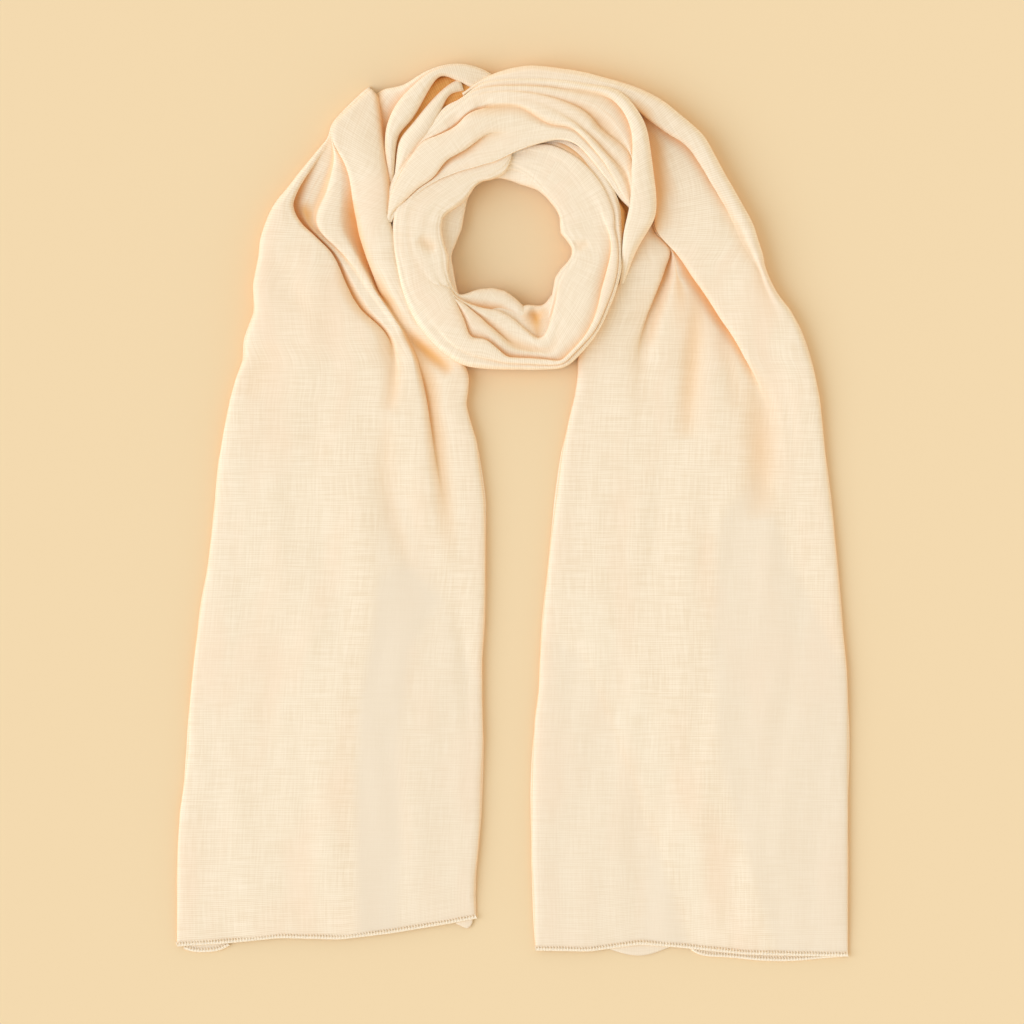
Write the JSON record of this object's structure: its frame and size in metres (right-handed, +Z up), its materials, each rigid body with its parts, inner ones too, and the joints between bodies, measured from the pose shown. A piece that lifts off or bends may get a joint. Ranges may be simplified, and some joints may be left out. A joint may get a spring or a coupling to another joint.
{
  "type": "long scarf",
  "caption": "Long voile scarf folded lengthwise, wound once into an open loop and laid flat, with both broad tails hanging down side by side.",
  "frame": {"origin": "middle of the bounding box on the surface the scarf lies on", "axes": "+X to the right tail, +Y away from the tails towards the loop, +Z up from the surface"},
  "size_m": [0.484, 0.646, 0.0326],
  "materials": {
    "voile": "thin plain-woven voile, pale cream, matt and slightly translucent",
    "folded_voile": "several layers of the same voile folded together, denser peach cream",
    "hem": "narrow rolled and overlocked hem of the same voile"
  },
  "bodies": {
    "root": {"left_tail": "voile", "right_tail": "voile", "inner_loop": "voile", "band": "voile", "outer_leaf": "voile", "inner_leaf": "voile", "left_tail_layers": "folded_voile", "right_tail_layers": "folded_voile", "loop_layers": "folded_voile", "left_tail_hem": "hem", "right_tail_hem": "hem", "left_under_hem": "hem", "right_middle_hem": "hem", "right_under_hem": "hem"}
  },
  "joints": []
}
